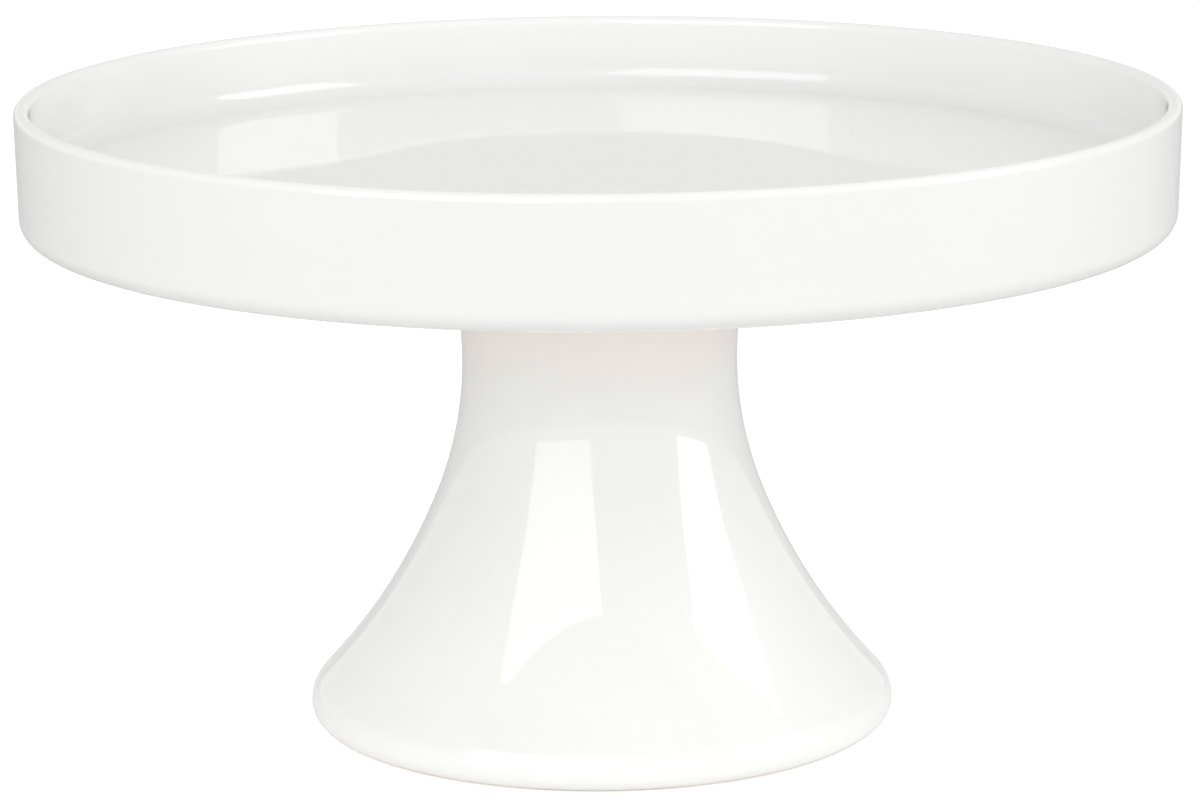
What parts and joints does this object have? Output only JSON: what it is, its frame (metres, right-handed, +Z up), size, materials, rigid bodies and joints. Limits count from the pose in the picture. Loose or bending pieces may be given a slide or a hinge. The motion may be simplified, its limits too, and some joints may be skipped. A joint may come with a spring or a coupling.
{
  "type": "cake stand",
  "caption": "Footed cake stand: a round tray plate with an upright rim, bolted to a hollow trumpet-shaped pedestal.",
  "frame": {"origin": "centre of the foot ring, on the table", "axes": "+Z up along the stand's axis, +X to the right and -Y towards a person in front; the wings of the nut lie along X"},
  "size_m": [0.28, 0.28, 0.154],
  "materials": {
    "plate": "glossy clear glaze over white porcelain",
    "plate_bolt": "bright zinc plate",
    "bolt_cement": "matt grey-white setting cement",
    "joint_gasket": "translucent white silicone, satin",
    "pedestal": "glossy clear glaze over white porcelain, foot ring left bare",
    "rubber_washer": "matt black rubber",
    "steel_washer": "bright zinc plate",
    "wing_nut": "zinc-plated casting"
  },
  "bodies": {
    "pedestal": {"pedestal": "pedestal", "joint_gasket": "joint_gasket"},
    "plate": {"plate": "plate", "plate_bolt": "plate_bolt", "bolt_cement": "bolt_cement"},
    "washers": {"rubber_washer": "rubber_washer", "steel_washer": "steel_washer"},
    "nut": {"wing_nut": "wing_nut"}
  },
  "joints": [
    {"name": "plate_lift", "type": "slide", "parent": "pedestal", "child": "plate", "axis": [0, 0, 1], "range_m": [0, 0.06]},
    {"name": "nut_travel", "type": "slide", "parent": "pedestal", "child": "washers", "axis": [0, 0, -1], "range_m": [0, 0.0125]},
    {"name": "nut_turn", "type": "hinge", "parent": "washers", "child": "nut", "pos_m": [0, 0, 0.11], "axis": [0, 0, -1], "range_deg": [0, 3600]}
  ],
  "couplings": [
    {"joint": "nut_travel", "follows": "nut_turn", "m_per_rad": 0.00019894}
  ]
}
